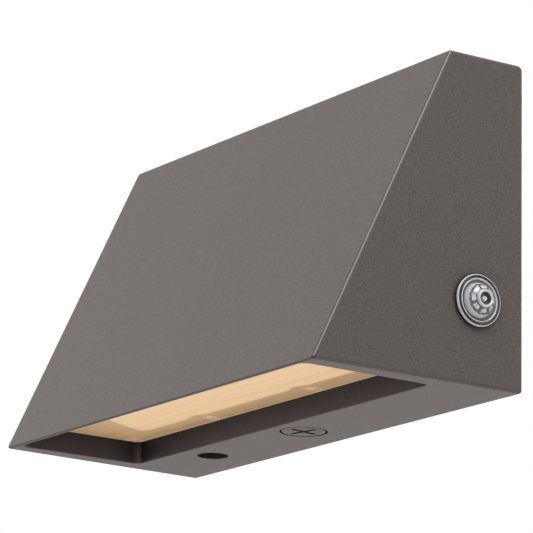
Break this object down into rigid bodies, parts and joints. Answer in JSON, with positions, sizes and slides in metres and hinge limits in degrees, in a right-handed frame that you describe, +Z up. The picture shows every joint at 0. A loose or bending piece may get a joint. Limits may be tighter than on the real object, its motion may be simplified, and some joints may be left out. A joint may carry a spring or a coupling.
{
  "type": "wall pack light",
  "caption": "Wedge-shaped outdoor wall pack light that hooks on a wall plate and shines down through a flush lens.",
  "frame": {"origin": "middle of the wall plate's opening, on the wall face that the gasket presses on", "axes": "X to the light's right side as its front is seen, Y into the wall so the front faces -Y, Z up"},
  "size_m": [0.2873, 0.1222, 0.164],
  "materials": {
    "bronze_paint": "dark bronze powder coat, fine texture",
    "bronze_plug": "dark bronze powder coat, smoother",
    "zinc_steel": "zinc plated sheet and screws",
    "stainless": "stainless steel, lightly brushed",
    "spring_steel": "dark spring steel",
    "green_metal": "green grounding screw",
    "black_rubber": "matte black rubber",
    "grey_silicone": "grey silicone sheet",
    "pad_grey": "soft thermal pad",
    "clear_lens": "fluted clear plastic sheet",
    "clear_plastic": "clear moulded plastic",
    "white_film": "white diffuse reflector",
    "board_white": "white solder mask",
    "phosphor": "yellow phosphor",
    "connector_white": "ivory connector",
    "driver_metal": "drawn aluminium case",
    "bare_casting": "bare cast aluminium",
    "driver_plastic": "black moulded cap",
    "block_plastic": "pale moulded plastic",
    "cell_black": "black moulded plastic",
    "sensor_grey": "grey sensor carrier",
    "lead_red": "red insulation",
    "lead_black": "black insulation",
    "lead_white": "white insulation"
  },
  "bodies": {
    "wall_mount": {"wall_gasket": "black_rubber", "wall_plate": "zinc_steel", "wire_grommet": "black_rubber", "ground_screw": "green_metal"},
    "housing": {"housing": "bronze_paint", "lens": "clear_lens", "lens_gasket": "grey_silicone", "lens_screws": "stainless", "thermal_pad": "pad_grey", "led_board": "board_white", "led_chips": "phosphor", "board_connector": "connector_white", "board_screws": "zinc_steel", "reflector": "white_film", "driver_case": "driver_metal", "driver_output_cap": "driver_plastic", "driver_input_cap": "driver_plastic", "terminal_block": "block_plastic", "driver_screws": "zinc_steel", "block_screws": "zinc_steel", "lead_grommet": "black_rubber", "led_lead_red": "lead_red", "led_lead_black": "lead_black", "driver_lead_black": "lead_black", "driver_lead_white": "lead_white", "photocell_lead_red": "lead_red", "photocell_lead_black": "lead_black", "photocell_lens": "clear_plastic", "photocell_washer": "black_rubber", "photocell_body": "cell_black", "photocell_sensor": "sensor_grey", "photocell_nut": "cell_black"},
    "lock_screw": {"locking_screw": "stainless", "retaining_ring": "spring_steel"},
    "clamp": {"clamp_bar": "bare_casting"},
    "port_travel": {"port_seal": "black_rubber"},
    "port_plug": {"port_plug": "bronze_plug"}
  },
  "joints": [
    {"name": "housing_tilt", "type": "hinge", "parent": "wall_mount", "child": "housing", "pos_m": [0, -0.0075, 0.0763], "axis": [-1, 0, 0], "range_deg": [0, 35]},
    {"name": "lock_turn", "type": "hinge", "parent": "housing", "child": "lock_screw", "pos_m": [-0.0816, -0.0297, -0.07], "axis": [0, 0, -1], "range_deg": [0, 2700]},
    {"name": "clamp_travel", "type": "slide", "parent": "housing", "child": "clamp", "axis": [0, 0, 1], "range_m": [0, 0.00601]},
    {"name": "port_travel", "type": "slide", "parent": "housing", "child": "port_travel", "axis": [0, 0, -1], "range_m": [0, 0.00601]},
    {"name": "port_turn", "type": "hinge", "parent": "port_travel", "child": "port_plug", "pos_m": [0, -0.0295, -0.08], "axis": [0, 0, -1], "range_deg": [0, 1440]}
  ],
  "couplings": [
    {"joint": "clamp_travel", "follows": "lock_turn", "m_per_rad": 0.00012732},
    {"joint": "port_travel", "follows": "port_turn", "m_per_rad": 0.00023873}
  ]
}
